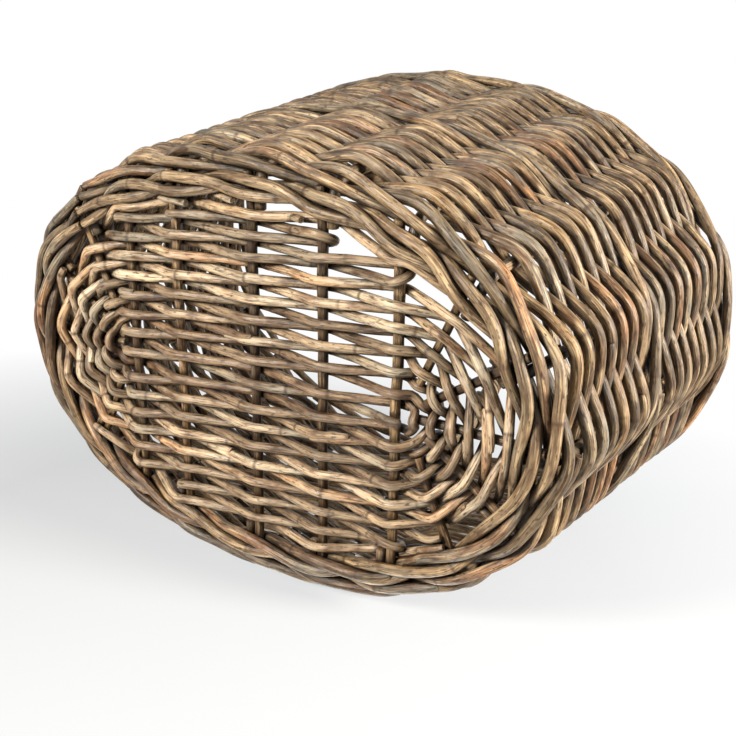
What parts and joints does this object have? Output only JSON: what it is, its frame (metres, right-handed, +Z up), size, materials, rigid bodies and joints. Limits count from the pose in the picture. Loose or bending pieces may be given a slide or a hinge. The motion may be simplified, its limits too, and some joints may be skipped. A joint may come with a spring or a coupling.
{
  "type": "shopping basket",
  "caption": "Oval shopping basket woven of rattan rods: sticks and stakes, woven base, two wall panels between wales, rim border of turned-down stakes, fixed wound hoop handle.",
  "frame": {"origin": "middle of the basket in plan, on the plane that its foot rests on", "axes": "+Z up through the mouth, X along the oval, Y across it in the plane of the handle"},
  "size_m": [0.4606, 0.3448, 0.4352],
  "materials": {
    "cross_stick": "satin peeled cane, dark brown",
    "end_stick": "satin cane, brown",
    "base_rod": "satin unpeeled rod, tan and grey brown, dark specks",
    "wale_rod": "satin unpeeled rod, tan, some greyer",
    "wall_rod": "satin unpeeled rod, each a slightly different tan, grey or olive",
    "stake": "satin unpeeled rod",
    "handle_cane": "satin cane",
    "handle_winding": "satin thin cane"
  },
  "bodies": {
    "root": {"cross_stick_1": "cross_stick", "cross_stick_2": "cross_stick", "cross_stick_3": "cross_stick", "cross_stick_4": "cross_stick", "cross_stick_5": "cross_stick", "end_stick_1": "end_stick", "end_stick_10": "end_stick", "end_stick_2": "end_stick", "end_stick_3": "end_stick", "end_stick_4": "end_stick", "end_stick_5": "end_stick", "end_stick_6": "end_stick", "end_stick_7": "end_stick", "end_stick_8": "end_stick", "end_stick_9": "end_stick", "base_weaver_1": "base_rod", "base_weaver_2": "base_rod", "long_rod_1": "base_rod", "long_rod_2": "base_rod", "packing_rod_1": "base_rod", "packing_rod_2": "base_rod", "foot_wale_rod_1": "wale_rod", "foot_wale_rod_2": "wale_rod", "foot_wale_rod_3": "wale_rod", "middle_wale_rod_1": "wale_rod", "middle_wale_rod_2": "wale_rod", "middle_wale_rod_3": "wale_rod", "upset_wale_rod_1": "wale_rod", "upset_wale_rod_2": "wale_rod", "upset_wale_rod_3": "wale_rod", "lower_weaver_1": "wall_rod", "lower_weaver_2": "wall_rod", "upper_weaver_1": "wall_rod", "upper_weaver_2": "wall_rod", "stake_01": "stake", "stake_02": "stake", "stake_03": "stake", "stake_04": "stake", "stake_05": "stake", "stake_06": "stake", "stake_07": "stake", "stake_08": "stake", "stake_09": "stake", "stake_10": "stake", "stake_11": "stake", "stake_12": "stake", "stake_13": "stake", "stake_14": "stake", "stake_15": "stake", "stake_16": "stake", "stake_17": "stake", "stake_18": "stake", "stake_19": "stake", "stake_20": "stake", "handle_hoop": "handle_cane", "handle_wrap": "handle_winding"}
  },
  "joints": []
}
